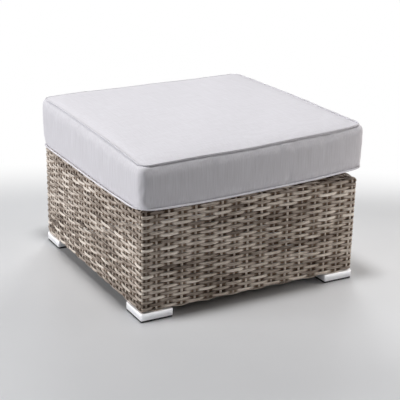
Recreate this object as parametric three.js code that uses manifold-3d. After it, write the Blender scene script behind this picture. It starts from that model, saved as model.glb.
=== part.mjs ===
// An outdoor footstool: a square woven body on four polished feet, with a loose boxed cushion on top.
// Sizes are in millimetres. +Z is up, the front faces -Y, and the origin is on the floor under the middle.
import * as THREE from "three";
import { mergeVertices } from "three/addons/utils/BufferGeometryUtils.js";
import Module from "manifold-3d";

const wasm = await Module();
wasm.setup();

// Woven body
const bodyWidth = 650;
const bodyDepth = 650;
const bodyTop = 295;
const footHeight = 24;
const weaveThickness = 5;
const weaveRelief = 1.2;
const weaveRecess = 1.8;
const weaveLow = 0.2;
const edgeRadius = 8;
const lipReach = 20;
const coursesPerSide = 28;
// Places of a side's stakes from its left end, as shares of its length
const stakeShares = [
  0.0215, 0.066, 0.117, 0.1755, 0.2345, 0.2955, 0.352, 0.4115, 0.4705,
  0.5335, 0.5925, 0.6565, 0.7255, 0.789, 0.85, 0.916, 0.974,
];

// Frame of square tube
const tubeWidth = 25;
const deckBarWidth = 20;
const tubeWall = 1.5;
const tubeCorner = 2.5;

// Feet, with the plate in the frame's corner that each is screwed to
const footWidth = 90;
const footCorner = 4;
const capWall = 2;
const capEdge = 1.5;
const padHeight = 5;
const padInset = 1;
const screwRadius = 3;
const screwHeadRadius = 6;
const screwHeadHeight = 4;
const screwPocketRadius = 8;
const screwPocketDepth = 11;
const screwPast = 3;
const plateWidth = 60;
const plateThickness = 4;
const bossRadius = 8;

// Cushion
const seamOverhang = 1;
const seamCorner = 33;
const pipingRadius = 3;
const boxingBulge = 8;
const coverThickness = 3;
const topCrown = 6;

// Height of the top seam over the body, at each corner and at the middle of each side
const topFrontLeft = 113;
const topFront = 125.5;
const topFrontRight = 145;
const topRight = 156;
const topBackRight = 157;
const topBack = 152;
const topBackLeft = 142;
const topLeft = 135;

// Height of the bottom seam over the body, at the same places
const lowFrontLeft = 4;
const lowFront = 9;
const lowFrontRight = 29.5;
const lowRight = 26;
const lowBackRight = 30;
const lowBack = 14;
const lowBackLeft = 9;
const lowLeft = 3.8;

// Zip in the back of the boxing
const zipMargin = 75;
const zipLength = bodyWidth - 2 * zipMargin;
const tapeHeight = 26;
const tapeThickness = 0.8;
const chainWidth = 5;
const chainHeight = 0.8;
const stopLength = 3;
const sliderLength = 10;
const sliderHeight = 9;
const sliderWall = 0.8;
const earThickness = 1;
const barRadius = 0.7;
const eyeRadius = 1.5;
const tabWidth = 5;
const tabThickness = 1.2;
const tabLength = 28;

// Clearances and cuts
const gap = 0.3;
const overrun = 5;
const mergeDistance = 0.001;

// Smoothness
const arcSteps = 3;
const tubeArcSteps = 2;
const roundSteps = 12;
const sideSteps = 6;
const cornerSteps = 3;
const pipingSides = 5;

const weaveMaterial = new THREE.MeshStandardMaterial({ color: 0x978b7f, roughness: 0.6, metalness: 0 });
const frameMaterial = new THREE.MeshStandardMaterial({ color: 0x4a443e, roughness: 0.5, metalness: 0.3 });
const chromeMaterial = new THREE.MeshStandardMaterial({ color: 0xd6d7d9, roughness: 0.12, metalness: 1 });
const padMaterial = new THREE.MeshStandardMaterial({ color: 0x1b1b1c, roughness: 0.7, metalness: 0 });
const steelMaterial = new THREE.MeshStandardMaterial({ color: 0x9fa1a3, roughness: 0.35, metalness: 1 });
const fabricMaterial = new THREE.MeshStandardMaterial({ color: 0xd9d9dd, roughness: 0.95, metalness: 0 });
const foamMaterial = new THREE.MeshStandardMaterial({ color: 0xf1ead2, roughness: 1, metalness: 0 });
const zipMaterial = new THREE.MeshStandardMaterial({ color: 0xc9c9cc, roughness: 0.6, metalness: 0 });

const footstool = new THREE.Group();

// Closed geometry to a solid that can be cut and joined
function solidFrom(geometry) {
  const bare = geometry.clone();
  bare.deleteAttribute("normal");
  bare.deleteAttribute("uv");
  const merged = mergeVertices(bare, mergeDistance);
  const vertProperties = new Float32Array(merged.attributes.position.array);
  const triVerts = new Uint32Array(merged.index.array);
  return new wasm.Manifold(new wasm.Mesh({ numProp: 3, vertProperties, triVerts }));
}

function geometryFrom(solid) {
  const mesh = solid.getMesh();
  const position = new THREE.BufferAttribute(new Float32Array(mesh.vertProperties), mesh.numProp);
  const index = new THREE.BufferAttribute(new Uint32Array(mesh.triVerts), 1);
  const geometry = new THREE.BufferGeometry().setAttribute("position", position).setIndex(index);
  geometry.computeVertexNormals();
  return geometry;
}

function addPiece(name, geometry, material, parent = footstool) {
  const mesh = new THREE.Mesh(geometry, material);
  mesh.name = name;
  parent.add(mesh);
  return mesh;
}

// A plain block between two corners
function block(low, high) {
  const size = high.clone().sub(low);
  const geometry = new THREE.BoxGeometry(size.x, size.y, size.z);
  const middle = low.clone().add(high).multiplyScalar(0.5);
  return geometry.translate(middle.x, middle.y, middle.z);
}

// An upright cylinder on the Z axis
function round(radius, low, high) {
  const geometry = new THREE.CylinderGeometry(radius, radius, high - low, roundSteps);
  return geometry.rotateX(Math.PI / 2).translate(0, 0, (low + high) / 2);
}

function roundedSquare(side, radius) {
  const inner = side / 2 - radius;
  const shape = new THREE.Shape();
  for (let quarter = 0; quarter < 4; quarter++) {
    const start = (quarter * Math.PI) / 2;
    const x = Math.sign(Math.cos(start + Math.PI / 4)) * inner;
    const y = Math.sign(Math.sin(start + Math.PI / 4)) * inner;
    shape.absarc(x, y, radius, start, start + Math.PI / 2, false);
  }
  return shape;
}

function squareHole(side) {
  const half = side / 2;
  const corners = [[-1, -1], [-1, 1], [1, 1], [1, -1]];
  return new THREE.Path(corners.map(([x, y]) => new THREE.Vector2(x * half, y * half)));
}

function upright(shape, low, high, curveSegments) {
  const options = { depth: high - low, bevelEnabled: false, curveSegments };
  return new THREE.ExtrudeGeometry(shape, options).translate(0, 0, low);
}

// Evenly spaced places from one value to another, both ends included
function evenly(from, to, count) {
  return Array.from({ length: count }, (_, n) => from + ((to - from) * n) / (count - 1));
}

// One crossing of strand and stake stands proud where the next lies low, as in a plain weave.
// The sheet's face looks along -Y. It stands on a backing recessed from the wraps, and its edge is sunk in.
// The strands run on round the corners past an odd number of stakes, so each side starts the other way.
function weaveSheet(across, along, shift) {
  const columns = across.length - 1;
  const rows = along.length - 1;
  const sheet = new THREE.BoxGeometry(columns, 1, rows, columns, 1, rows);
  const place = sheet.attributes.position;
  for (let n = 0; n < place.count; n++) {
    const column = Math.round(place.getX(n) + columns / 2);
    const row = Math.round(place.getZ(n) + rows / 2);
    const atEdge = column === 0 || column === columns || row === 0 || row === rows;
    const crossing = (column + row + shift) % 2 === 1 ? -weaveRelief : weaveRecess - weaveLow;
    const face = atEdge ? weaveRecess + weaveLow : crossing;
    const y = place.getY(n) < 0 ? face : (weaveRecess + weaveThickness) / 2;
    place.setXYZ(n, across[column], y, along[row]);
  }
  return sheet;
}

// Grid lines of a sheet: its two edges, and the middle of each stake between them
function stakeLines(half) {
  const edge = half - edgeRadius;
  const side = half + weaveRelief;
  return [-edge, ...stakeShares.map((share) => (2 * share - 1) * side), edge];
}

// A strip as it stands at the front, cut to the body's plan: round at its corners, mitred to its neighbours
function mitred(geometry, half, low, high) {
  const end = half - gap * Math.SQRT1_2;
  const depth = lipReach + overrun;
  const plan = new THREE.Shape();
  plan.moveTo(depth - end, depth);
  plan.absarc(edgeRadius - end, edgeRadius, edgeRadius, (5 * Math.PI) / 4, (3 * Math.PI) / 2, false);
  plan.absarc(end - edgeRadius, edgeRadius, edgeRadius, (3 * Math.PI) / 2, (7 * Math.PI) / 4, false);
  plan.lineTo(end - depth, depth);
  return solidFrom(geometry).intersect(solidFrom(upright(plan, low - overrun, high + overrun, arcSteps)));
}

// The upright face of a side, y of zero being the face of the wraps above and below it
function wovenFace(half, shift) {
  const low = footHeight + edgeRadius + gap;
  const high = bodyTop - edgeRadius - gap;
  const face = new THREE.Vector3(-half, weaveRecess, low);
  const backing = block(face, new THREE.Vector3(half, weaveThickness, high));
  const along = evenly(low + weaveLow, high - weaveLow, coursesPerSide + 2);
  const sheet = weaveSheet(stakeLines(half), along, shift);
  return geometryFrom(mitred(backing, half, low, high).add(solidFrom(sheet)));
}

// The strands wrapped over a rail: round its outer edge and inwards along its top, which is z of zero
function wrap(half) {
  const section = new THREE.Shape();
  section.moveTo(weaveThickness, -edgeRadius);
  section.lineTo(weaveThickness, -weaveThickness);
  section.lineTo(lipReach, -weaveThickness);
  section.lineTo(lipReach, 0);
  section.lineTo(edgeRadius, 0);
  section.absarc(edgeRadius, -edgeRadius, edgeRadius, Math.PI / 2, Math.PI, false);
  const strip = upright(section, -half, half, arcSteps);
  strip.applyMatrix4(
    new THREE.Matrix4().makeBasis(
      new THREE.Vector3(0, 1, 0),
      new THREE.Vector3(0, 0, 1),
      new THREE.Vector3(1, 0, 0),
    ),
  );
  return geometryFrom(mitred(strip, half, -edgeRadius, 0));
}

// Each side has its face, the rim over the top rail, and the hem under the bottom rail
function addWovenSides() {
  const toFront = bodyDepth / 2 - weaveRelief;
  const toSide = bodyWidth / 2 - weaveRelief;
  const sides = [
    { name: "front", x: 0, y: -toFront, half: toSide, turn: 0 },
    { name: "right", x: toSide, y: 0, half: toFront, turn: Math.PI / 2 },
    { name: "back", x: 0, y: toFront, half: toSide, turn: Math.PI },
    { name: "left", x: -toSide, y: 0, half: toFront, turn: -Math.PI / 2 },
  ];
  for (const [shift, { name, x, y, half, turn }] of sides.entries()) {
    const side = new THREE.Group();
    side.position.set(x, y, 0);
    side.rotation.z = turn;
    addPiece("weave_" + name, wovenFace(half, shift), weaveMaterial, side);
    addPiece("rim_" + name, wrap(half), weaveMaterial, side).position.z = bodyTop;
    const hem = addPiece("hem_" + name, wrap(half), weaveMaterial, side);
    hem.position.z = footHeight;
    hem.rotation.y = Math.PI;
    footstool.add(side);
  }
}

// The deck lies between the rims, on the top rails and the deck bars. Its weave is too fine to model here.
function addDeck() {
  const x = bodyWidth / 2 - weaveRelief - lipReach - gap;
  const y = bodyDepth / 2 - weaveRelief - lipReach - gap;
  const low = new THREE.Vector3(-x, -y, bodyTop - weaveThickness);
  addPiece("weave_deck", block(low, new THREE.Vector3(x, y, bodyTop)), weaveMaterial);
}

// Outer half sizes and heights of the tube frame, which fills the woven skin
const frameInset = weaveRelief + weaveThickness + gap;
const frameX = bodyWidth / 2 - frameInset;
const frameY = bodyDepth / 2 - frameInset;
const frameLow = footHeight + weaveThickness + gap;
const frameTop = bodyTop - weaveThickness - gap;

function squareTube(length, side) {
  const shape = roundedSquare(side, tubeCorner);
  shape.holes.push(squareHole(side - 2 * tubeWall));
  return upright(shape, -length / 2, length / 2, tubeArcSteps);
}

const corners = [
  { name: "back_right", x: 1, y: 1, turn: 0 },
  { name: "back_left", x: -1, y: 1, turn: Math.PI / 2 },
  { name: "front_left", x: -1, y: -1, turn: Math.PI },
  { name: "front_right", x: 1, y: -1, turn: -Math.PI / 2 },
];

function addPosts() {
  const length = frameTop - frameLow;
  for (const corner of corners) {
    const post = addPiece("post_" + corner.name, squareTube(length, tubeWidth), frameMaterial);
    const x = corner.x * (frameX - tubeWidth / 2);
    const y = corner.y * (frameY - tubeWidth / 2);
    post.position.set(x, y, frameLow + length / 2);
  }
}

// Rails run from post to post, at the top and at the bottom
function addRails() {
  const levels = [["top", frameTop - tubeWidth / 2], ["bottom", frameLow + tubeWidth / 2]];
  for (const [level, z] of levels) {
    for (const [side, direction] of [["front", -1], ["back", 1]]) {
      const length = 2 * (frameX - tubeWidth - gap);
      const rail = addPiece(level + "_rail_" + side, squareTube(length, tubeWidth), frameMaterial);
      rail.position.set(0, direction * (frameY - tubeWidth / 2), z);
      rail.rotation.y = Math.PI / 2;
    }
    for (const [side, direction] of [["left", -1], ["right", 1]]) {
      const length = 2 * (frameY - tubeWidth - gap);
      const rail = addPiece(level + "_rail_" + side, squareTube(length, tubeWidth), frameMaterial);
      rail.position.set(direction * (frameX - tubeWidth / 2), 0, z);
      rail.rotation.x = Math.PI / 2;
    }
  }
}

// Three bars under the deck, evenly spaced between the side rails
function addDeckBars() {
  const names = ["left", "middle", "right"];
  const inside = frameX - tubeWidth;
  const pitch = (2 * inside) / (names.length + 1);
  const length = 2 * (frameY - tubeWidth - gap);
  names.forEach((name, n) => {
    const bar = addPiece("deck_bar_" + name, squareTube(length, deckBarWidth), frameMaterial);
    bar.position.set((n + 1) * pitch - inside, 0, frameTop - deckBarWidth / 2);
    bar.rotation.x = Math.PI / 2;
  });
}

// Places along a foot's own axis
const capLow = padHeight + gap;
const capTop = footHeight - gap;
const pocketTop = screwPocketDepth;
const screwEnd = frameLow + plateThickness + screwPast;

// A polished square cap, open below
function footCap() {
  const bevel = { depth: capTop, bevelThickness: capEdge, bevelSize: capEdge, bevelSegments: tubeArcSteps };
  const core = roundedSquare(footWidth - 2 * capEdge, footCorner - capEdge);
  const outside = new THREE.ExtrudeGeometry(core, { ...bevel, bevelEnabled: true, curveSegments: arcSteps });
  outside.translate(0, 0, -capEdge);
  const keep = new THREE.Vector3(footWidth, footWidth, capTop);
  const above = block(new THREE.Vector3(-footWidth, -footWidth, capLow), keep);
  const inside = roundedSquare(footWidth - 2 * capWall, footCorner - capWall);
  const hollow = upright(inside, capLow - overrun, capTop - capWall, arcSteps);
  const hole = round(screwRadius + gap, capLow, capTop + overrun);
  const cap = solidFrom(outside).intersect(solidFrom(above));
  return geometryFrom(cap.subtract(solidFrom(hollow)).subtract(solidFrom(hole)));
}

// The black pad: a flange under the cap, and a plug that fills it
function footPad() {
  const flangeShape = roundedSquare(footWidth - 2 * padInset, footCorner - padInset);
  const flange = upright(flangeShape, 0, padHeight, arcSteps);
  const plugSide = footWidth - 2 * (capWall + gap);
  const plugTop = capTop - capWall - gap;
  const plug = upright(roundedSquare(plugSide, tubeCorner), padHeight - padInset, plugTop, arcSteps);
  const pocket = round(screwPocketRadius, -overrun, pocketTop);
  const hole = round(screwRadius + gap, 0, plugTop + overrun);
  const pad = solidFrom(flange).add(solidFrom(plug));
  return geometryFrom(pad.subtract(solidFrom(pocket)).subtract(solidFrom(hole)));
}

function footScrew() {
  const headTop = pocketTop - gap;
  const points = [
    [0, headTop - screwHeadHeight],
    [screwHeadRadius - capEdge, headTop - screwHeadHeight],
    [screwHeadRadius, headTop - screwHeadHeight + capEdge],
    [screwHeadRadius, headTop],
    [screwRadius, headTop],
    [screwRadius, screwEnd],
    [0, screwEnd],
  ];
  const profile = points.map(([radius, height]) => new THREE.Vector2(radius, height));
  return new THREE.LatheGeometry(profile, roundSteps).rotateX(Math.PI / 2);
}

// A plate in the inner corner of the bottom rails, with a threaded boss that stands on the cap
function footPlate() {
  const outer = footWidth / 2 - frameInset - tubeWidth - gap;
  const high = new THREE.Vector3(outer, outer, frameLow + plateThickness);
  const low = new THREE.Vector3(outer - plateWidth, outer - plateWidth, frameLow);
  const boss = round(bossRadius, footHeight, frameLow + plateThickness);
  const hole = round(screwRadius + gap, footHeight - overrun, screwEnd);
  const plate = solidFrom(block(low, high)).add(solidFrom(boss));
  return geometryFrom(plate.subtract(solidFrom(hole)));
}

function addFeet() {
  const x = bodyWidth / 2 - footWidth / 2;
  const y = bodyDepth / 2 - footWidth / 2;
  for (const corner of corners) {
    const foot = new THREE.Group();
    foot.position.set(corner.x * x, corner.y * y, 0);
    foot.rotation.z = corner.turn;
    addPiece("foot_cap_" + corner.name, footCap(), chromeMaterial, foot);
    addPiece("foot_pad_" + corner.name, footPad(), padMaterial, foot);
    addPiece("foot_screw_" + corner.name, footScrew(), steelMaterial, foot);
    addPiece("foot_plate_" + corner.name, footPlate(), frameMaterial, foot);
    footstool.add(foot);
  }
}

// Half sizes of the line that the cushion's seams follow
const seamX = bodyWidth / 2 + seamOverhang;
const seamY = bodyDepth / 2 + seamOverhang;

// How far the zip's pieces stand out from the boxing
const tapeFace = gap + tapeThickness;
const chainFace = tapeFace + chainHeight;
const sliderFace = chainFace + gap + sliderWall;
const barOut = sliderFace + gap + eyeRadius;
const zipStand = barOut + eyeRadius;

// The back bulges less, so that the zip stays inside the line of the other three sides
const backBulge = boxingBulge - zipStand;

// Plan of a seam as anchors and outward directions, each point being its anchor plus a radius outwards
function seamOutline() {
  const outline = [];
  for (let quarter = 0; quarter < 4; quarter++) {
    const start = (quarter * Math.PI) / 2;
    const centre = cornerCentre(start);
    for (let n = 0; n <= cornerSteps; n++) {
      const angle = start + ((Math.PI / 2) * n) / cornerSteps;
      outline.push({ anchor: centre, out: new THREE.Vector2(Math.cos(angle), Math.sin(angle)) });
    }
    const end = start + Math.PI / 2;
    const out = new THREE.Vector2(Math.cos(end), Math.sin(end));
    for (let n = 1; n < sideSteps; n++) {
      outline.push({ anchor: centre.clone().lerp(cornerCentre(end), n / sideSteps), out });
    }
  }
  return outline;
}

function cornerCentre(start) {
  const x = Math.sign(Math.cos(start + Math.PI / 4)) * (seamX - seamCorner);
  const y = Math.sign(Math.sin(start + Math.PI / 4)) * (seamY - seamCorner);
  return new THREE.Vector2(x, y);
}

const outline = seamOutline();

// A smooth height over the cushion's plan from the heights at its corners and the middles of its sides
function heightOver(x, y, heights) {
  const u = x / seamX;
  const v = y / seamY;
  const corner = (i, j) => ((1 + i * u) * (1 + j * v) * (i * u + j * v - 1)) / 4;
  const middleX = (j) => ((1 - u * u) * (1 + j * v)) / 2;
  const middleY = (i) => ((1 - v * v) * (1 + i * u)) / 2;
  return (
    corner(-1, -1) * heights.frontLeft +
    corner(1, -1) * heights.frontRight +
    corner(1, 1) * heights.backRight +
    corner(-1, 1) * heights.backLeft +
    middleX(-1) * heights.front +
    middleX(1) * heights.back +
    middleY(-1) * heights.left +
    middleY(1) * heights.right
  );
}

const topHeights = {
  frontLeft: topFrontLeft,
  front: topFront,
  frontRight: topFrontRight,
  right: topRight,
  backRight: topBackRight,
  back: topBack,
  backLeft: topBackLeft,
  left: topLeft,
};

const lowHeights = {
  frontLeft: lowFrontLeft,
  front: lowFront,
  frontRight: lowFrontRight,
  right: lowRight,
  backRight: lowBackRight,
  back: lowBack,
  backLeft: lowBackLeft,
  left: lowLeft,
};

const topSeam = (x, y) => bodyTop + heightOver(x, y, topHeights);
const lowSeam = (x, y) => bodyTop + heightOver(x, y, lowHeights);

// One ring of points round the cushion. Its inset is from the seam line, and its share pulls it inwards.
function ring(inset, share, height) {
  return outline.map(({ anchor, out }) => {
    const plan = anchor.clone().addScaledVector(out, seamCorner - inset(out)).multiplyScalar(share);
    return new THREE.Vector3(plan.x, plan.y, height(plan, anchor, out));
  });
}

// A closed skin over rings of points. A tube joins its last ring to its first. Any other has capped ends.
function skinOver(rings, isTube) {
  const points = rings.flat();
  const around = outline.length;
  const faces = [];
  const strips = isTube ? rings.length : rings.length - 1;
  for (let strip = 0; strip < strips; strip++) {
    const first = strip * around;
    const second = ((strip + 1) % rings.length) * around;
    for (let n = 0; n < around; n++) {
      const next = (n + 1) % around;
      faces.push(...quadFaces(points, first + n, second + n, second + next, first + next));
    }
  }
  if (!isTube) {
    const last = (rings.length - 1) * around;
    points.push(middleOf(rings[0]), middleOf(rings[rings.length - 1]));
    for (let n = 0; n < around; n++) {
      const next = (n + 1) % around;
      faces.push(points.length - 2, n, next);
      faces.push(points.length - 1, last + next, last + n);
    }
  }
  const geometry = new THREE.BufferGeometry().setFromPoints(points).setIndex(faces);
  geometry.computeVertexNormals();
  return geometry;
}

// Two triangles, split along the shorter diagonal, so that skins one above the other are split alike
function quadFaces(points, a, b, c, d) {
  const splitsAtFirst = points[a].distanceTo(points[c]) < points[b].distanceTo(points[d]);
  return splitsAtFirst ? [a, b, c, a, c, d] : [a, b, d, b, c, d];
}

function middleOf(points) {
  const sum = points.reduce((total, point) => total.add(point), new THREE.Vector3());
  return sum.divideScalar(points.length);
}

// Shares of the way out from the middle, at which the panels have their rings
const topRingShares = [0.4, 0.7, 0.92, 1];
const lowRingShares = [0.6, 0.85, 1];
const topCrownPower = 4;

// Share of the underside that lies flat on the deck, and how sharply the rest lifts to the seam
const lowFlatShare = 0.6;
const lowLiftPower = 2.5;

// Shares of the boxing's height at which it has its rings
const boxingShares = [0, 0.2, 0.5, 0.8, 1];

function crownHeight(share) {
  return (plan) => topSeam(plan.x, plan.y) + topCrown * (1 - share ** topCrownPower);
}

// The underside is flat on the deck in the middle and lifts to the seam at its edge
function liftHeight(share) {
  const lifted = ((share - lowFlatShare) / (1 - lowFlatShare)) ** lowLiftPower;
  return (plan) => {
    const lift = lowSeam(plan.x / share, plan.y / share) - bodyTop - gap;
    return bodyTop + gap + lift * lifted;
  };
}

const lowered = (height, by) => (plan) => height(plan) - by;
const panelInset = () => pipingRadius + gap;

function panelRings(shares, heightAt, by) {
  return shares.map((share) => ring(panelInset, share, lowered(heightAt(share), by)));
}

function topPanel() {
  const outside = panelRings(topRingShares, crownHeight, 0);
  const inside = panelRings(topRingShares, crownHeight, coverThickness);
  return skinOver([...outside, ...inside.reverse()], false);
}

function lowPanel() {
  const outside = panelRings(lowRingShares, liftHeight, 0);
  const inside = panelRings(lowRingShares, liftHeight, -coverThickness);
  return skinOver([...inside, ...outside.reverse()], false);
}

// How far the boxing's face lies inside the seam line: less than nothing where it bulges
function boxingInset(share, depth) {
  const fullness = 1 - (2 * share - 1) ** 2;
  return (out) => depth - fullness * THREE.MathUtils.lerp(boxingBulge, backBulge, Math.max(0, out.y));
}

function boxingHeight(share) {
  return (plan, anchor, out) => {
    const seam = anchor.clone().addScaledVector(out, seamCorner);
    const low = lowSeam(seam.x, seam.y) + pipingRadius + gap;
    const top = topSeam(seam.x, seam.y) - pipingRadius - gap;
    return THREE.MathUtils.lerp(low, top, share);
  };
}

function boxingRings(shares, depth) {
  return shares.map((share) => ring(boxingInset(share, depth), 1, boxingHeight(share)));
}

function boxing() {
  const outside = boxingRings(boxingShares, 0);
  const inside = boxingRings(boxingShares, coverThickness);
  return skinOver([...inside, ...outside.reverse()], true);
}

// A welted cord round a seam
function piping(seam) {
  const rings = Array.from({ length: pipingSides }, (_, n) => {
    const angle = (2 * Math.PI * n) / pipingSides;
    const inset = () => pipingRadius * Math.cos(angle);
    const rise = pipingRadius * Math.sin(angle);
    return ring(inset, 1, (plan, anchor, out) => {
      const line = anchor.clone().addScaledVector(out, seamCorner);
      return seam(line.x, line.y) + rise;
    });
  });
  return skinOver(rings, true);
}

// The foam fills the cover
function foam() {
  const top = panelRings(topRingShares, crownHeight, coverThickness + gap);
  const sides = boxingRings(boxingShares.slice(1, -1), coverThickness + gap);
  const low = panelRings(lowRingShares, liftHeight, -(coverThickness + gap));
  return skinOver([...top, ...sides.reverse(), ...low.reverse()], false);
}

function addCushion() {
  addPiece("cushion_top_panel", topPanel(), fabricMaterial);
  addPiece("cushion_bottom_panel", lowPanel(), fabricMaterial);
  addPiece("cushion_boxing", boxing(), fabricMaterial);
  addPiece("cushion_piping_top", piping(topSeam), fabricMaterial);
  addPiece("cushion_piping_bottom", piping(lowSeam), fabricMaterial);
  addPiece("cushion_foam", foam(), foamMaterial);
}

// The zip's own frame: x along it, y out of the boxing, z up, from the middle of the boxing's back
const zipOrigin = new THREE.Vector3(0, seamY + backBulge, bodyTop + (topBack + lowBack) / 2);
const sliderStart = stopLength + sliderLength / 2 + gap - zipLength / 2;

function zipTape() {
  const half = zipLength / 2;
  const tapeLow = new THREE.Vector3(-half, gap, -tapeHeight / 2);
  const tape = block(tapeLow, new THREE.Vector3(half, tapeFace, tapeHeight / 2));
  const chainLow = new THREE.Vector3(-half, gap, -chainWidth / 2);
  const chain = block(chainLow, new THREE.Vector3(half, chainFace, chainWidth / 2));
  let solid = solidFrom(tape).add(solidFrom(chain));
  for (const [from, to] of [[-half, stopLength - half], [half - stopLength, half]]) {
    const low = new THREE.Vector3(from, gap, -sliderHeight / 2);
    const stop = block(low, new THREE.Vector3(to, sliderFace, sliderHeight / 2));
    solid = solid.add(solidFrom(stop));
  }
  return geometryFrom(solid);
}

// The slider's roof and cheeks straddle the chain, and its two ears hold the bar that the tab turns on
function zipSlider() {
  const half = sliderLength / 2;
  const body = block(
    new THREE.Vector3(-half, tapeFace + gap, -sliderHeight / 2),
    new THREE.Vector3(half, sliderFace, sliderHeight / 2),
  );
  const tunnel = block(
    new THREE.Vector3(-half - overrun, 0, -chainWidth / 2 - gap),
    new THREE.Vector3(half + overrun, chainFace + gap, chainWidth / 2 + gap),
  );
  const bar = round(barRadius, -tabWidth / 2 - gap - earThickness, tabWidth / 2 + gap + earThickness);
  bar.rotateY(Math.PI / 2).translate(0, barOut, 0);
  let solid = solidFrom(body).subtract(solidFrom(tunnel)).add(solidFrom(bar));
  for (const side of [-1, 1]) {
    const near = tabWidth / 2 + gap;
    const xs = [side * near, side * (near + earThickness)].sort((a, b) => a - b);
    const ear = block(
      new THREE.Vector3(xs[0], sliderFace - sliderWall / 2, -eyeRadius),
      new THREE.Vector3(xs[1], barOut + eyeRadius, eyeRadius),
    );
    solid = solid.add(solidFrom(ear));
  }
  return geometryFrom(solid);
}

// The pull tab hangs from the bar by its eye
function zipTab() {
  const eye = round(eyeRadius, -tabWidth / 2, tabWidth / 2);
  eye.rotateY(Math.PI / 2).translate(0, barOut, 0);
  const plate = block(
    new THREE.Vector3(-tabWidth / 2, barOut - tabThickness / 2, -tabLength),
    new THREE.Vector3(tabWidth / 2, barOut + tabThickness / 2, 0),
  );
  const hole = round(barRadius + gap, -tabWidth, tabWidth);
  hole.rotateY(Math.PI / 2).translate(0, barOut, 0);
  return geometryFrom(solidFrom(eye).add(solidFrom(plate)).subtract(solidFrom(hole)));
}

function addZip() {
  const zip = new THREE.Group();
  zip.position.copy(zipOrigin);
  addPiece("zip_tape", zipTape(), zipMaterial, zip);
  addPiece("zip_slider", zipSlider(), steelMaterial, zip).position.set(sliderStart, 0, 0);
  addPiece("zip_pull_tab", zipTab(), steelMaterial, zip).position.set(sliderStart, 0, 0);
  footstool.add(zip);
}

addWovenSides();
addDeck();
addPosts();
addRails();
addDeckBars();
addFeet();
addCushion();
addZip();

export default footstool;
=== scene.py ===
import math

import bmesh
import bpy
import numpy as np
from mathutils import Matrix, Vector


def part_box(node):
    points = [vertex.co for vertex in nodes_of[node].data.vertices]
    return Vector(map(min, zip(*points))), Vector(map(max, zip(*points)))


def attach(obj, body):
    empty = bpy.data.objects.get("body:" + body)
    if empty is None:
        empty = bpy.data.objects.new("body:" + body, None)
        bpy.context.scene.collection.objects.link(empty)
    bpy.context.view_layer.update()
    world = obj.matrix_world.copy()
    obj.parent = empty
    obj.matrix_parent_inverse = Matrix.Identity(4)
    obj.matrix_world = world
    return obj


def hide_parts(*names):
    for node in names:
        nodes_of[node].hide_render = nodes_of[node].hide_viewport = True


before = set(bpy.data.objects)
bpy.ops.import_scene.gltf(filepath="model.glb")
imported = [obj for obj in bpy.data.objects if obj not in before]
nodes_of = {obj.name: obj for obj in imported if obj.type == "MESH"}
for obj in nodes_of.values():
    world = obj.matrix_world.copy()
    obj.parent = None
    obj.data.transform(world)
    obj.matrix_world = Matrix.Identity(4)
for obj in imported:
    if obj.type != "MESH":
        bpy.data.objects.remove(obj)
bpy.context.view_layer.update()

scene = bpy.context.scene
scene.view_settings.view_transform = "Standard"

# Camera: it stands in front of the footstool, to its left and above it, with a long lens and a
# slight roll. Angles are in radians, distances in metres, the lens and its sensor in millimetres.
camera_azimuth = -0.51127
camera_elevation = 0.330481
camera_roll = 0.0204945
camera_distance = 2.8655
camera_aim = Vector((0.00523, -0.02373, 0.18417))
camera_lens = 90.88
camera_sensor = 36.0
flat_share = math.cos(camera_elevation)
away = Vector((
    math.sin(camera_azimuth) * flat_share,
    -math.cos(camera_azimuth) * flat_share,
    math.sin(camera_elevation),
))
level = (-away).cross(Vector((0, 0, 1))).normalized()
upright = level.cross(-away)
right = math.cos(camera_roll) * level + math.sin(camera_roll) * upright
up = math.cos(camera_roll) * upright - math.sin(camera_roll) * level
camera_data = bpy.data.cameras.new("camera")
camera_data.lens = camera_lens
camera_data.sensor_width = camera_sensor
camera = bpy.data.objects.new("camera", camera_data)
scene.collection.objects.link(camera)
camera_place = Matrix((right, up, away)).transposed().to_4x4()
camera_place.translation = camera_aim + away * camera_distance
camera.matrix_world = camera_place
scene.camera = camera


# Frame: square steel tube, welded into a box with three bars under the deck, and powder coated in
# a dark brown. It shows only through the gaps of the weave and from below.
def set_inputs(node, values):
    for key, value in (values or {}).items():
        node.inputs[key].default_value = value


def new_material(name, values=None):
    material = bpy.data.materials.new(name)
    material.use_nodes = True
    tree = material.node_tree
    shader = tree.nodes["Principled BSDF"]
    set_inputs(shader, values)
    return material, tree, shader


def add_node(tree, kind, values=None, **settings):
    node = tree.nodes.new(kind)
    for key, value in settings.items():
        setattr(node, key, value)
    set_inputs(node, values)
    return node


def join(tree, out_node, out_name, in_node, in_name):
    tree.links.new(out_node.outputs[out_name], in_node.inputs[in_name])


def linear(red, green, blue):
    # a colour as the eye names it, 0 to 255, in the light values that the shader takes
    def light(value):
        value /= 255
        return value / 12.92 if value <= 0.04045 else ((value + 0.055) / 1.055) ** 2.4

    return (light(red), light(green), light(blue), 1)


def ramp(tree, stops):
    # a colour ramp, with a colour as the eye names it at each place
    node = add_node(tree, "ShaderNodeValToRGB")
    elements = node.color_ramp.elements
    while len(elements) < len(stops):
        elements.new(0.5)
    for element, (place, tone) in zip(elements, stops):
        element.position = place
        element.color = linear(*tone)
    return node


def pattern(tree, values, mapping=None, kind="ShaderNodeTexNoise", output="Fac", **settings):
    # the value of a texture on the piece's own coordinates, which a mapping may stretch or turn
    place = add_node(tree, "ShaderNodeTexCoord").outputs["Object"]
    if mapping:
        turn = add_node(tree, "ShaderNodeMapping", mapping)
        tree.links.new(place, turn.inputs["Vector"])
        place = turn.outputs["Vector"]
    texture = add_node(tree, kind, values, **settings)
    tree.links.new(place, texture.inputs["Vector"])
    return texture.outputs[output]


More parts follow.
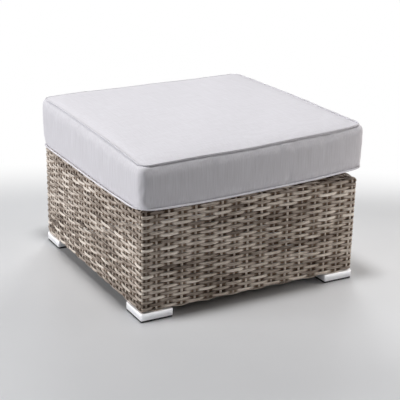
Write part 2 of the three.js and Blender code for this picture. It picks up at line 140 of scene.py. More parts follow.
def colour_by(tree, shader, source, stops):
    # the base colour follows a pattern
    tones = ramp(tree, stops)
    tree.links.new(source, tones.inputs["Fac"])
    join(tree, tones, "Color", shader, "Base Color")


def vary(tree, shader, slot, source, low, high):
    # a value of the shader goes from low to high as a pattern goes from 0 to 1
    spread = add_node(tree, "ShaderNodeMapRange", {"To Min": low, "To Max": high})
    tree.links.new(source, spread.inputs["Value"])
    join(tree, spread, "Result", shader, slot)


def add_bump(tree, shader, height, strength, distance):
    bump = add_node(tree, "ShaderNodeBump", {"Strength": strength, "Distance": distance})
    tree.links.new(height, bump.inputs["Height"])
    join(tree, bump, "Normal", shader, "Normal")


def powder_coat():
    material, tree, shader = new_material("powder_coat")
    cloud = pattern(tree, {"Scale": 9.0, "Detail": 4.0})
    colour_by(tree, shader, cloud, [(0.3, (62, 54, 48)), (0.7, (78, 69, 61))])
    grain = pattern(tree, {"Scale": 900.0, "Detail": 2.0})
    vary(tree, shader, "Roughness", grain, 0.38, 0.58)
    add_bump(tree, shader, grain, 0.35, 0.0002)
    return material


coat = powder_coat()
side_names = ["front", "back", "left", "right"]
corner_names = ["front_left", "front_right", "back_left", "back_right"]
frame_nodes = [f"post_{c}" for c in corner_names]
frame_nodes += [f"{level_name}_rail_{s}" for level_name in ("top", "bottom") for s in side_names]
frame_nodes += ["deck_bar_left", "deck_bar_middle", "deck_bar_right"]
frame_nodes += [f"foot_plate_{c}" for c in corner_names]


def dress(node_name, material):
    mesh = nodes_of[node_name].data
    mesh.materials.clear()
    mesh.materials.append(material)


for node_name in frame_nodes:
    dress(node_name, coat)


# Woven body: flat plastic strands in mixed browns and greys, woven over one and under one round
# flat upright stakes, right round all four corners. Stakes and strands wrap over the top rail and
# under the bottom one.
body_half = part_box("weave_right")[1].x
body_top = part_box("rim_front")[1].z
body_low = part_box("hem_front")[0].z
skin_depth = 0.0030
lip_depth = 0.0027
bend_radius = 0.0055
corner_radius = 0.0052
least_corner_radius = 0.0012
lip_reach = 0.0205
strand_pitch_wanted = 0.00875
strand_width = 0.0086
strand_half_thickness = 0.0006
strand_crown = 0.0019
face_wave = 0.0018
lip_wave = 0.0015
stake_width = 0.0068
# samples from stake to stake and round a corner, and how many of these lie each side of its bend
samples_between = 12
corner_steps = 8
lead_steps = 2
# share of the way between stakes before a strand starts to cross, and how round the crossing is
crossing_rest = 0.1
crossing_roundness = 0.65
# how unevenly strands lie: slow waves of all, wander and twist of each, shift and swing at stakes
weave_seed = 11
slow_laps = (3, 9)
phase_span = 6.3
strand_sway = 0.00022
wander_laps = (31, 53)
strand_wander = 0.00012
crossing_shift = 0.00022
crossing_swing = 0.10
twist_laps = 23
strand_twist = 0.05
# how much wider a strand may be than the next, and how much it spreads over and under a stake
strand_spread = 0.02
spread_over = 0.03
spread_under = 0.08
# distances of the stakes from a side's left end, in shares of its length
stake_shares = [
    0.0215, 0.066, 0.117, 0.1755, 0.2345, 0.2955, 0.352, 0.4115, 0.4705,
    0.5335, 0.5925, 0.6565, 0.7255, 0.789, 0.850, 0.916, 0.974,
]
face_out = body_half - skin_depth
rim_level = body_top - lip_depth
hem_level = body_low + lip_depth
lip_length = face_out - bend_radius - (body_half - lip_reach)
bend_length = math.pi / 2 * bend_radius
face_length = (rim_level - bend_radius) - (hem_level + bend_radius)
skin_length = 2 * (lip_length + bend_length) + face_length
strand_count = round(skin_length / strand_pitch_wanted)
strand_pitch = skin_length / strand_count
anchor_half = face_out - corner_radius


def skin_profile(climb):
    # place and outward direction on the skin's section, from the hem's inner edge to the rim's:
    # along the lip under the bottom rail, round its bend, up the face, and back over the top rail
    low_bend, face_low, face_high, high_bend = np.cumsum(
        [lip_length, bend_length, face_length, bend_length])
    turned = np.clip((climb - low_bend) / bend_length, 0, 1)
    turned = turned + np.clip((climb - face_high) / bend_length, 0, 1)
    outward, upward = np.sin(turned * math.pi / 2), -np.cos(turned * math.pi / 2)
    climb = np.clip(climb, 0, skin_length)
    out = face_out - bend_radius * (1 - outward)
    out = out - np.clip(low_bend - climb, 0, None) - np.clip(climb - high_bend, 0, None)
    rise = hem_level + bend_radius * (1 + upward) + np.clip(climb - face_low, 0, face_length)
    return out, rise, outward, upward


def on_skin(anchor, direction, climb, lift):
    # anchor runs from -1 to 1 along both axes of the plan, direction is the plan's outward one
    out, rise, outward, upward = skin_profile(climb)
    radius = np.maximum(corner_radius + out - face_out, least_corner_radius)
    reach = (out - radius)[:, None]
    plan = anchor * reach + direction * (radius + lift * outward)[:, None]
    return np.column_stack([plan, rise + lift * upward])


def wave_height(climb):
    # strands lie flatter on the lips than on the face
    on_face = np.clip((climb - lip_length) / bend_length, 0, 1)
    on_face *= np.clip((skin_length - lip_length - climb) / bend_length, 0, 1)
    return lip_wave + (face_wave - lip_wave) * on_face


def quarter_turns(vectors, turns):
    # plan vectors turned by whole quarters, to the left seen from above
    cos, sin = np.round(np.cos(turns * math.pi / 2)), np.round(np.sin(turns * math.pi / 2))
    return np.column_stack([
        vectors[:, 0] * cos - vectors[:, 1] * sin,
        vectors[:, 0] * sin + vectors[:, 1] * cos,
    ])


def ring_samples():
    # anchors, directions, wave, stakes passed and distance of the samples round the body
    stakes = (np.array(stake_shares) * 2 - 1) * body_half / anchor_half
    bend_steps = corner_steps - 2 * lead_steps
    anchor, direction, wave, passed = [], [], [], []
    for number, (first, second) in enumerate(zip(stakes[:-1], stakes[1:])):
        for n in range(samples_between):
            t = n / samples_between
            anchor.append((first + (second - first) * t, -1))
            direction.append((0, -1))
            wave.append(alternate(number) * crossing(t))
            passed.append(number + t)
    last = len(stakes) - 1
    for n in range(corner_steps):
        wave.append(alternate(last) * crossing(n / corner_steps))
        passed.append(last + n / corner_steps)
        if n < lead_steps:
            anchor.append((stakes[-1] + (1 - stakes[-1]) * n / lead_steps, -1))
            direction.append((0, -1))
        elif n <= lead_steps + bend_steps:
            angle = (n - lead_steps) / bend_steps * math.pi / 2
            anchor.append((1, -1))
            direction.append((math.sin(angle), -math.cos(angle)))
        else:
            part = (n - lead_steps - bend_steps) / lead_steps
            anchor.append((1, -1 + (1 + stakes[0]) * part))
            direction.append((1, 0))
    # the other three sides are the first one, turned
    side = np.repeat(np.arange(4), len(wave))
    anchors = quarter_turns(np.tile(np.array(anchor, float), (4, 1)), side)
    directions = quarter_turns(np.tile(np.array(direction, float), (4, 1)), side)
    waves = np.tile(wave, 4) * alternate(side * len(stakes))
    path = anchors * anchor_half + directions * corner_radius
    steps = np.linalg.norm(np.roll(path, -1, 0) - path, axis=1)
    passed = np.tile(passed, 4) + side * len(stakes)
    return anchors, directions, waves, passed, np.cumsum(steps) - steps


def crossing(t):
    # from over one stake, 1, to under the next, -1
    t = min(max((t - crossing_rest) / (1 - 2 * crossing_rest), 0), 1)
    return crossing_roundness * math.cos(math.pi * t) + (1 - crossing_roundness) * (1 - 2 * t)


def alternate(number):
    # 1 for even numbers, -1 for odd ones
    return 1.0 - 2.0 * (number % 2)


def strand_section():
    # across and lift of a strand's cross-section, flat behind and crowned in front
    half, thick, crown = strand_width / 2, strand_half_thickness, strand_crown
    return [
        (-half, -0.4 * thick), (-0.82 * half, 0.5 * crown), (-0.36 * half, 0.95 * crown),
        (0.36 * half, 0.95 * crown), (0.82 * half, 0.5 * crown), (half, -0.4 * thick),
        (0.8 * half, -thick), (-0.8 * half, -thick),
    ]


def closed_loop(bm, points):
    verts = [bm.verts.new(p) for p in points]
    return [bm.edges.new((verts[n - 1], verts[n])) for n in range(len(verts))] + verts


def only(geom, kind):
    return [item for item in geom if isinstance(item, kind)]


def copy_up(bm, copies, step):
    # copies of all that the bmesh holds, a step apart
    source = bm.verts[:] + bm.edges[:] + bm.faces[:]
    for n in range(copies):
        made = only(bmesh.ops.duplicate(bm, geom=source)["geom"], bmesh.types.BMVert)
        bmesh.ops.translate(bm, verts=made, vec=Vector(step) * (n + 1))


def spin_ring(bm, section, level, steps):
    # a ring round the origin, a metre out, with the given cross-section
    loop = closed_loop(bm, [(1 + lift, 0, level + across) for across, lift in section])
    bmesh.ops.spin(
        bm, geom=loop, cent=(0, 0, 0), axis=(0, 0, 1), angle=2 * math.pi, steps=steps,
        use_merge=True)


def mesh_from(bm, name):
    mesh = bpy.data.meshes.new(name)
    bm.to_mesh(mesh)
    bm.free()
    return mesh


def add_object(name, mesh, material):
    mesh.materials.append(material)
    made = bpy.data.objects.new(name, mesh)
    scene.collection.objects.link(made)
    return made


def read_points(mesh):
    points = np.zeros(len(mesh.vertices) * 3, np.float32)
    mesh.vertices.foreach_get("co", points)
    return points.reshape(-1, 3).astype(float)


def unroll_ring(mesh, steps):
    # step round the ring, height, and lift out from it, of each vertex that spin_ring made
    x, y, height = read_points(mesh).T
    turn = np.arctan2(y, x) / (2 * math.pi) * steps
    return np.round(turn).astype(int) % steps, height, np.hypot(x, y) - 1


def move_points(mesh, points):
    mesh.vertices.foreach_set("co", np.ascontiguousarray(points, np.float32).ravel())
    mesh.update()


def shade_smooth(bm):
    # faces turned outwards and shaded smooth
    bmesh.ops.recalc_face_normals(bm, faces=bm.faces)
    for face in bm.faces:
        face.smooth = True


def set_points(mesh, points, attributes):
    move_points(mesh, points)
    for key, values in attributes.items():
        layer = mesh.attributes.new(key, "FLOAT", "POINT")
        layer.data.foreach_set("value", np.ascontiguousarray(values, np.float32))
    bm = bmesh.new()
    bm.from_mesh(mesh)
    shade_smooth(bm)
    bm.to_mesh(mesh)
    bm.free()
    mesh.update()


ring_anchor, ring_direction, ring_wave, ring_passed, ring_distance = ring_samples()
ring_count = len(ring_wave)
ring_length = ring_distance[-1]
row_step = 0.02
weave_random = np.random.default_rng(weave_seed)
strand_tone = weave_random.random(strand_count)
slow_waves = [
    (weave_random.uniform(*slow_laps), weave_random.uniform(0, phase_span)) for n in range(5)]
own_phases = weave_random.uniform(0, phase_span, (strand_count, 4))
crossing_jitter = weave_random.normal(0, 1, (strand_count, ring_count // samples_between + 2))
stretch_tone = weave_random.random((strand_count, 2 * len(stake_shares)))


def strand_band(name, rows):
    # the strands of some rows, each a ring round the body
    bm = bmesh.new()
    spin_ring(bm, strand_section(), rows[0] * row_step, ring_count)
    copy_up(bm, len(rows) - 1, (0, 0, row_step))
    mesh = mesh_from(bm, name)
    place, height, lift = unroll_ring(mesh, ring_count)
    row = np.round(height / row_step).astype(int)
    across = height - row * row_step
    wave = ring_wave[place] * alternate(row)
    lap = ring_distance[place] / ring_length * 2 * math.pi
    sway = sum(np.sin(np.round(rate) * lap + start) for rate, start in slow_waves)
    wander = sum(np.sin(laps * lap + own_phases[row, n]) for n, laps in enumerate(wander_laps))
    stake_place = place / samples_between
    low = np.floor(stake_place).astype(int)
    blend = stake_place - low
    blend = blend * blend * (3 - 2 * blend)
    jitter = crossing_jitter[row, low] * (1 - blend) + crossing_jitter[row, low + 1] * blend
    jitter = np.where(low >= ring_count // samples_between - 1, 0, jitter)
    width = 1 + strand_spread * own_phases[row, 2] / phase_span
    width = width + np.where(wave > 0, spread_over, -spread_under) * wave
    passed = np.floor((ring_passed[place] + 1 - row % 2) / 2).astype(int)
    twist = strand_twist * np.sin(twist_laps * lap + own_phases[row, 3])
    climb = (row + 0.5) * strand_pitch + across * width
    climb = climb + sway * strand_sway + wander * strand_wander + jitter * crossing_shift
    swing = wave_height(climb) * (1 + crossing_swing * jitter)
    points = on_skin(
        ring_anchor[place], ring_direction[place], climb, wave * swing + lift + across * twist)
    set_points(mesh, points, {
        "strand": strand_tone[row],
        "across": across / strand_width * 2,
        # how far the strand dips under a stake, which the finish paints as shade
        "sunk": 0.5 - 0.5 * wave,
        "stretch": stretch_tone[row, passed % (2 * len(stake_shares))],
    })
    return mesh


def calculate(tree, operation, *terms):
    # the result of a maths node on sockets or numbers
    node = add_node(tree, "ShaderNodeMath", operation=operation)
    for slot, term in enumerate(terms):
        if isinstance(term, float):
            node.inputs[slot].default_value = term
        else:
            tree.links.new(term, node.inputs[slot])
    return node.outputs[0]


def strand_plastic(name, tones, sunk_shade):
    # mixed tones that change along a strand, fine lengthwise streaks and ribs, a painted highlight
    # on one edge and painted shade where it dips under a stake
    material, tree, shader = new_material(name)
    parts = add_node(tree, "ShaderNodeSeparateXYZ")
    join(tree, add_node(tree, "ShaderNodeTexCoord"), "Object", parts, "Vector")
    strand, across, sunk, stretch = [
        add_node(tree, "ShaderNodeAttribute", attribute_name=key).outputs["Fac"]
        for key in ("strand", "across", "sunk", "stretch")]

    def share_of(source, share):
        return calculate(tree, "MULTIPLY", source, share)

    def along_strand(plan_scale, third, values):
        # noise that runs with the plan's directions and differs from strand to strand
        place = add_node(tree, "ShaderNodeCombineXYZ")
        for axis in ("X", "Y"):
            tree.links.new(share_of(parts.outputs[axis], plan_scale), place.inputs[axis])
        tree.links.new(calculate(tree, "ADD", share_of(strand, 97.0), third), place.inputs["Z"])
        noise = add_node(tree, "ShaderNodeTexNoise", {"Scale": 1.0, **values})
        join(tree, place, "Vector", noise, "Vector")
        return noise.outputs["Fac"]

    bands = along_strand(
        7.0, share_of(parts.outputs["Z"], 3.0), {"Detail": 3.0, "Roughness": 0.5})
    streaks = along_strand(30.0, share_of(across, 2.0), {"Detail": 4.0, "Roughness": 0.65})
    patch = pattern(tree, {"Scale": 11.0, "Detail": 2.0})
    # the place across a strand paints one edge lighter and the other darker: a painted highlight on
    # the upper edge of the sides' strands
    total = share_of(bands, 0.42)
    for source, share in (
            (patch, 0.12), (streaks, 0.44), (stretch, 0.05), (strand, 0.11), (across, 0.035)):
        total = calculate(tree, "ADD", total, share_of(source, share))
    mixed = ramp(tree, tones)
    tree.links.new(total, mixed.inputs["Fac"])
    # painted shade, a warm dark brown multiplied in where a strand dips under a stake, with a
    # ragged edge; the gloss is lowered there too, as painted shade on its reflections
    ragged = calculate(tree, "SUBTRACT", calculate(tree, "ADD", streaks, bands), 1.0)
    depth = add_node(
        tree, "ShaderNodeMapRange", {"From Min": 0.60, "From Max": 0.86, "To Max": sunk_shade})
    tree.links.new(
        calculate(tree, "SUBTRACT", sunk, share_of(ragged, 0.55)), depth.inputs["Value"])
    # the colour of the painted shade
    shade = {"B": linear(140, 124, 111)}
    dim = add_node(tree, "ShaderNodeMix", shade, data_type="RGBA", blend_type="MULTIPLY")
    join(tree, depth, "Result", dim, "Factor")
    join(tree, mixed, "Color", dim, "A")
    join(tree, dim, "Result", shader, "Base Color")
    vary(tree, shader, "Specular IOR Level", depth.outputs["Result"], 0.35, 0.05)
    vary(tree, shader, "Roughness", streaks, 0.42, 0.62)
    ribs = calculate(tree, "SINE", share_of(across, 16.0))
    height = calculate(tree, "ADD", share_of(ribs, 0.3), share_of(streaks, 1.2))
    add_bump(tree, shader, height, 0.45, 0.0005)
    return material


# strands take the painted shade in full where they dip under a stake
strand_finish = strand_plastic("woven_strand", [
    (0.42, (90, 77, 67)), (0.51, (144, 130, 118)),
    (0.58, (192, 178, 165)), (0.68, (255, 244, 232)),
], 1.0)
lip_rows = round(lip_length / strand_pitch) + 1
middle_row, high_row, rim_row = 12, 22, strand_count - lip_rows
bands = {
    "hem_strands": range(lip_rows),
    "face_strands_low": range(lip_rows, middle_row),
    "face_strands_middle": range(middle_row, high_row),
    "face_strands_high": range(high_row, rim_row),
    "rim_strands": range(rim_row, strand_count),
}
band_nodes = {
    "hem_strands": [f"hem_{s}" for s in side_names],
    "rim_strands": [f"rim_{s}" for s in side_names],
}
for band_name, rows in bands.items():
    band = add_object(band_name, strand_band(band_name, rows), strand_finish)
    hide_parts(*band_nodes.get(band_name, [f"weave_{s}" for s in side_names]))
    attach(band, "base")

# Stakes: flat upright strips of the same plastic, seventeen to a side. The strands pass over and
# under them, and their ends fold in over the rails.
stake_samples = 2 * strand_count
stake_lean = 0.0006
stake_press = 0.00025
strip_step = 0.05
# steps from piece to piece, and along one, that spread their tones evenly
tone_step = 0.618
stretch_step = 0.37


def stake_section():
    half = stake_width / 2
    return [
        (-half, 0), (-0.75 * half, 0.8), (-0.25 * half, 1.1), (0.25 * half, 1.1),
        (0.75 * half, 0.8), (half, 0), (0.7 * half, -0.8), (-0.7 * half, -0.8),
    ]


def strips(name, section, samples, copies):
    # flat strips side by side: each vertex's strip, place across it, lift and share along it
    bm = bmesh.new()
    start = closed_loop(bm, [(across, lift, 0) for across, lift in section])
    ends = front = only(start, bmesh.types.BMEdge)
    for n in range(samples):
        grown = bmesh.ops.extrude_edge_only(bm, edges=front)["geom"]
        bmesh.ops.translate(bm, verts=only(grown, bmesh.types.BMVert), vec=(0, 0, 1))
        front = [edge for edge in only(grown, bmesh.types.BMEdge) if edge.is_boundary]
    bmesh.ops.contextual_create(bm, geom=ends)
    bmesh.ops.contextual_create(bm, geom=front)
    copy_up(bm, copies - 1, (strip_step, 0, 0))
    mesh = mesh_from(bm, name)
    x, lift, along = read_points(mesh).T
    number = np.round(x / strip_step).astype(int)
    return mesh, number, x - number * strip_step, lift, along / samples


def strip_look(number, across, sunk, stretch):
    # what the finish reads from a strip: its tones, the place across it, which takes a painted edge
    # highlight, and how far it dips, which takes painted shade
    return {
        "strand": (number * tone_step) % 1, "across": across * 2, "sunk": sunk,
        "stretch": stretch % 1,
    }


def stakes_mesh(name):
    mesh, number, across, lift, share = strips(
        name, stake_section(), stake_samples, 4 * len(stake_shares))
    climb = share * skin_length
    turn, at = np.divmod(number, len(stake_shares))
    centre = (np.array(stake_shares)[at] * 2 - 1) * body_half
    lean = stake_lean * np.sin(number * 2.3 + climb * 14)
    anchor = np.column_stack([(centre + across + lean) / anchor_half, -1 + 0 * share])
    direction = np.column_stack([0 * share, -1 + 0 * share])
    beat = np.cos(math.pi * (climb / strand_pitch - 0.5)) * alternate(number)
    thick = wave_height(climb) - strand_half_thickness
    points = on_skin(
        quarter_turns(anchor, turn), quarter_turns(direction, turn), climb,
        lift * thick - stake_press * beat)
    stretch = number * tone_step + np.floor(climb / strand_pitch / 2) * stretch_step
    set_points(mesh, points, strip_look(number, across / stake_width, 0 * share, stretch))
    return mesh


# stakes take no painted shade
stake_finish = strand_plastic("woven_stake", [
    (0.42, (94, 82, 73)), (0.52, (146, 133, 121)),
    (0.60, (196, 183, 170)), (0.72, (248, 237, 225)),
], 0.0)
stakes = add_object("stakes", stakes_mesh("stakes"), stake_finish)
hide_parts(*[f"weave_{s}" for s in side_names])
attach(stakes, "base")

# Deck: the same strands woven flat across the frame, under the cushion. Their ends tuck in under
# the wrap of the rim.
deck_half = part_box("weave_deck")[1].x
deck_tuck = 0.0025
deck_depth = 0.0030
deck_level = body_top - deck_depth
deck_wave = 0.0013
deck_sway = 0.0004
deck_spread_under = 0.13
deck_end_dip = -0.8
deck_end_share = 0.01
deck_stake_half = 0.0007
deck_stake_press = 0.0002
deck_rows = round(2 * deck_half / strand_pitch)
deck_pitch = 2 * deck_half / deck_rows
deck_spaces = len(stake_shares) + 1
deck_samples_between = 6


def deck_strands():
    mesh, row, across, lift, share = strips(
        "deck_strands", strand_section(), deck_samples_between * deck_spaces, deck_rows)
    x = (share * 2 - 1) * (deck_half + deck_tuck)
    stake_at = share * deck_spaces - 0.5
    wave = np.cos(math.pi * stake_at) * alternate(row)
    wave = np.where(np.abs(share - 0.5) > 0.5 - deck_end_share, deck_end_dip, wave)
    width = 1 + np.where(wave > 0, spread_over, -deck_spread_under) * wave
    y = -deck_half + (row + 0.5) * deck_pitch + across * width
    y = y + deck_sway * np.sin(row * 1.7 + x * 19)
    z = deck_level + wave * deck_wave + lift
    stretch = row * stretch_step + np.floor(stake_at / 2) * tone_step
    look = strip_look(row, across / strand_width, 0.5 - 0.5 * wave, stretch)
    set_points(mesh, np.column_stack([x, y, z]), look)
    return mesh


def deck_stakes():
    mesh, number, across, lift, share = strips(
        "deck_stakes", stake_section(), 2 * deck_rows, len(stake_shares))
    x = ((number + 1) / deck_spaces * 2 - 1) * (deck_half + deck_tuck) + across
    y = (share * 2 - 1) * deck_half
    beat = np.cos(math.pi * (share * deck_rows - 0.5)) * alternate(number)
    z = deck_level + lift * deck_stake_half - deck_stake_press * beat
    look = strip_look(number, across / stake_width, 0 * share, number * stretch_step)
    set_points(mesh, np.column_stack([x, y, z]), look)
    return mesh


for deck_piece, finish in ((deck_strands(), strand_finish), (deck_stakes(), stake_finish)):
    piece = add_object(deck_piece.name, deck_piece, finish)
    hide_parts("weave_deck")
    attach(piece, "base")


# Feet: square caps of pressed steel, polished and chrome plated, one screwed under each corner of
# the frame. Each holds a black plastic pad that stands on the floor.
cap_wall = 0.0015
cap_corner = 0.004
cap_edge = 0.0008
cap_sharp = math.radians(40)


def block(bm, centre, size):
    place = Matrix.Translation(centre) @ Matrix.Diagonal((*size, 1))
    return bmesh.ops.create_cube(bm, size=1, matrix=place)["verts"]


def bevel(bm, edges, offset, segments):
    bmesh.ops.bevel(
        bm, geom=edges, offset=offset, segments=segments, profile=0.5, affect="EDGES",
        material=-1)


def rise_of(edge):
    return abs(edge.verts[0].co.z - edge.verts[1].co.z)


def cap_mesh(name, low, high):
    bm = bmesh.new()
    block(bm, (low + high) / 2, high - low)
    below = [f for f in bm.faces if f.normal.z < -0.5]
    bmesh.ops.delete(bm, geom=below, context="FACES_ONLY")
    bevel(bm, [e for e in bm.edges if rise_of(e) > 1e-3], cap_corner, 6)
    bevel(bm, [
        e for e in bm.edges if not e.is_boundary and min(v.co.z for v in e.verts) > high.z - 1e-5
    ], cap_edge, 3)
    for f in bm.faces:
        f.smooth = True
    mesh = mesh_from(bm, name)
    mesh.set_sharp_from_angle(angle=cap_sharp)
    return mesh


def chrome_plate():
    # mirror plating with faint grinding marks under it
    material, tree, shader = new_material(
        "chrome_plate", {"Base Color": linear(248, 248, 250), "Metallic": 1.0})
    marks = pattern(tree, {"Scale": 1.0, "Detail": 3.0}, {"Scale": (40.0, 40.0, 1600.0)})
    vary(tree, shader, "Roughness", marks, 0.60, 0.75)
    add_bump(tree, shader, marks, 0.08, 0.00005)
    return material


def grained(name, roughness, tones, values, bump=None, **texture):
    # one fine pattern gives the tones and, with a strength and a depth, the bump
    material, tree, shader = new_material(name, {"Roughness": roughness})
    grain = pattern(tree, values, **texture)
    colour_by(tree, shader, grain, tones)
    if bump:
        add_bump(tree, shader, grain, *bump)
    return material


def plated_steel(name, dark, pale):
    material, tree, shader = new_material(name, {"Metallic": 1.0})
    cloud = pattern(tree, {"Scale": 600.0, "Detail": 3.0})
    colour_by(tree, shader, cloud, [(0.3, dark), (0.7, pale)])
    vary(tree, shader, "Roughness", cloud, 0.25, 0.42)
    return material


chrome = chrome_plate()
pad_plastic = grained(
    "black_plastic", 0.6, [(0.3, (22, 22, 23)), (0.7, (34, 34, 35))],
    {"Scale": 1400.0, "Detail": 2.0}, (0.4, 0.0002))
zinc = plated_steel("zinc_plate", (162, 164, 166), (176, 178, 180))
for corner in corner_names:
    low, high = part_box(f"foot_cap_{corner}")
    cap = add_object(f"cap_{corner}", cap_mesh(f"cap_{corner}", low, high), chrome)
    wall = cap.modifiers.new("wall", "SOLIDIFY")
    wall.thickness = cap_wall
    wall.offset = -1
    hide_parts(f"foot_cap_{corner}")
    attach(cap, "base")
    dress(f"foot_pad_{corner}", pad_plastic)
    dress(f"foot_screw_{corner}", zinc)


# Cushion: a foam block in a loose cover of pale grey melange outdoor fabric. The cover is a top and
# a bottom panel with a boxing strip between them, and a piped seam goes round at both edges. It
# lies loose on the deck, pushed up at the right and at the back.
seam_overhang = 0.001
seam_half = body_half + seam_overhang
seam_corner = 0.026
low_seam_corner = 0.046
low_front_right_corner = 0.024
seam_tuck = 0.0010
cushion_crown = 0.0035
boxing_bulge = 0.0065
boxing_tightness = 0.015
back_bulge_loss = 0.78
low_seam_fullness = 0.68
flat_share_below = 0.6
lift_power = 2.5
deck_clearance = 0.0004
panel_cells = 72
boxing_cells = 14
cover_thickness = 0.0014
top_ripple = (0.0011, 0.0007)
low_ripple = 0.0006
# heights of the seams over the body at the corners and the middles of the sides
top_heights = {
    "front_left": 0.113, "front": 0.1255, "front_right": 0.145, "right": 0.156,
    "back_right": 0.157, "back": 0.152, "back_left": 0.142, "left": 0.135,
}
low_heights = {
    "front_left": 0.004, "front": 0.009, "front_right": 0.0295, "right": 0.026,
    "back_right": 0.030, "back": 0.014, "back_left": 0.009, "left": 0.0038,
}


def height_over(x, y, heights):
    # a smooth surface through the eight heights
    u, v = x / seam_half, y / seam_half

    def corner(i, j):
        return (1 + i * u) * (1 + j * v) * (i * u + j * v - 1) / 4

    return (
        corner(-1, -1) * heights["front_left"] + corner(1, -1) * heights["front_right"]
        + corner(1, 1) * heights["back_right"] + corner(-1, 1) * heights["back_left"]
        + (1 - u * u) * ((1 - v) * heights["front"] + (1 + v) * heights["back"]) / 2
        + (1 - v * v) * ((1 - u) * heights["left"] + (1 + u) * heights["right"]) / 2
    )


def top_seam(x, y):
    slow, fine = np.sin(11 * x + 1.0) * np.sin(9 * y + 2.2), np.sin(23 * x - 17 * y)
    ripple = top_ripple[0] * slow + top_ripple[1] * fine
    return body_top + height_over(x, y, top_heights) + ripple


def low_seam(x, y):
    ripple = low_ripple * (1 + np.sin(19 * x + 15 * y))
    return body_top + height_over(x, y, low_heights) + ripple


def corner_at(share, u, v):
    # the corners' radius grows towards the low seam, which is pulled in there, least at the front
    # right; share is 0 at the low seam and 1 at the top one
    front_right = np.clip(1.25 * u, 0, 1) * np.clip(-1.25 * v, 0, 1)
    low = low_seam_corner + (low_front_right_corner - low_seam_corner) * front_right
    return low + (seam_corner - low) * np.clip(share / 0.2, 0, 1) ** 0.8


def seam_line(u, v, inset, corner):
    # the point of the seam line for a point on the edge of a unit square, and the outward direction
    straight = seam_half - corner
    straight_share = straight / (straight + corner * math.pi / 4)
    along_x = np.abs(u) >= np.abs(v)
    side = np.where(along_x, v, u)
    out_sign = np.sign(np.where(along_x, u, v))
    angle = np.clip((np.abs(side) - straight_share) / (1 - straight_share), 0, 1) * math.pi / 4
    part = np.clip(np.abs(side) / straight_share, 0, 1) * straight
    side_sign = np.where(side < 0, -1.0, 1.0)
    main_out, side_out = np.cos(angle) * out_sign, np.sin(angle) * side_sign
    radius = corner - inset
    main = straight * out_sign + radius * main_out
    other = part * side_sign + radius * side_out
    x, y = np.where(along_x, main, other), np.where(along_x, other, main)
    out_x, out_y = np.where(along_x, main_out, side_out), np.where(along_x, side_out, main_out)
    return x, y, out_x, out_y


def cushion_block(name, cells, rows, shrink, bulge):
    # a cube cut into a grid on each side, and set to the cushion's shape
    bm = bmesh.new()
    bmesh.ops.create_cube(bm, size=2)
    flat_edges = [e for e in bm.edges if rise_of(e) < 0.5]
    bmesh.ops.subdivide_edges(bm, edges=flat_edges, cuts=cells - 1, use_grid_fill=True)
    tall_edges = [e for e in bm.edges if rise_of(e) > 0.5]
    bmesh.ops.subdivide_edges(bm, edges=tall_edges, cuts=rows - 1, use_grid_fill=True)
    mesh = mesh_from(bm, name)
    cube = read_points(mesh)
    u, v, w = cube.T
    out_share = np.maximum(np.maximum(np.abs(u), np.abs(v)), 1e-6)
    share = 0.5 - 0.5 * np.cos(math.pi * (w + 1) / 2)
    corner = corner_at(share, u / out_share, v / out_share)
    seam_x, seam_y, out_x, out_y = seam_line(u / out_share, v / out_share, shrink, corner)
    x, y = seam_x * out_share, seam_y * out_share
    top = top_seam(x, y) + cushion_crown * (1 - out_share ** 8) - 0.3 * shrink
    lifted = np.clip((out_share - flat_share_below) / (1 - flat_share_below), 0, 1) ** lift_power
    rest_level = body_top + deck_clearance
    low = rest_level + (low_seam(seam_x, seam_y) - rest_level) * lifted + 0.3 * shrink
    # the sides swell between the seams, less at the back, and pull in round the corners
    fullness = (1 - (1 - low_seam_fullness) * (1 - share) ** 2.2) * (1 - share ** 36)
    swell = bulge * fullness * (1 - back_bulge_loss * np.clip(out_y, 0, 1))
    tighter = boxing_tightness * fullness * (1.2 - 0.7 * share)
    on_side = out_share > 1 - 1e-4
    reach = (swell + tighter) / (seam_half - corner)
    anchor_x, anchor_y = seam_x - (corner - shrink) * out_x, seam_y - (corner - shrink) * out_y
    x = x + np.where(on_side, anchor_x * reach - out_x * tighter, 0)
    y = y + np.where(on_side, anchor_y * reach - out_y * tighter, 0)
    move_points(mesh, np.column_stack([x, y, low + (top - low) * share]))
    return mesh, cube, out_y


cover_mesh, cover_cube, cover_out_y = cushion_block(
    "cover", panel_cells, boxing_cells, seam_tuck, boxing_bulge)
cover = bpy.data.objects.new("cover", cover_mesh)
scene.collection.objects.link(cover)
cover_start = read_points(cover_mesh)
# the cube's edges are its seams; the cloth is held there, on the deck and where the zip is sewn in
at_edge = 0.9999
facing_back = 0.9
zip_half_span = 0.27
zip_half_band = 0.02
top_swell_limit = 0.005
swell_limit = 0.003
air_frames = 20
edge_share = np.maximum(np.abs(cover_cube[:, 0]), np.abs(cover_cube[:, 1]))
is_seam = (edge_share > at_edge) & (np.abs(cover_cube[:, 2]) > at_edge)
is_top = cover_cube[:, 2] > at_edge
is_below = (cover_cube[:, 2] < -at_edge) & ~is_seam
zip_level = body_top + (top_heights["back"] + low_heights["back"]) / 2
near_zip = (
    (cover_out_y > facing_back) & (np.abs(cover_start[:, 0]) < zip_half_span)
    & (np.abs(cover_start[:, 2] - zip_level) < zip_half_band) & ~is_below
)


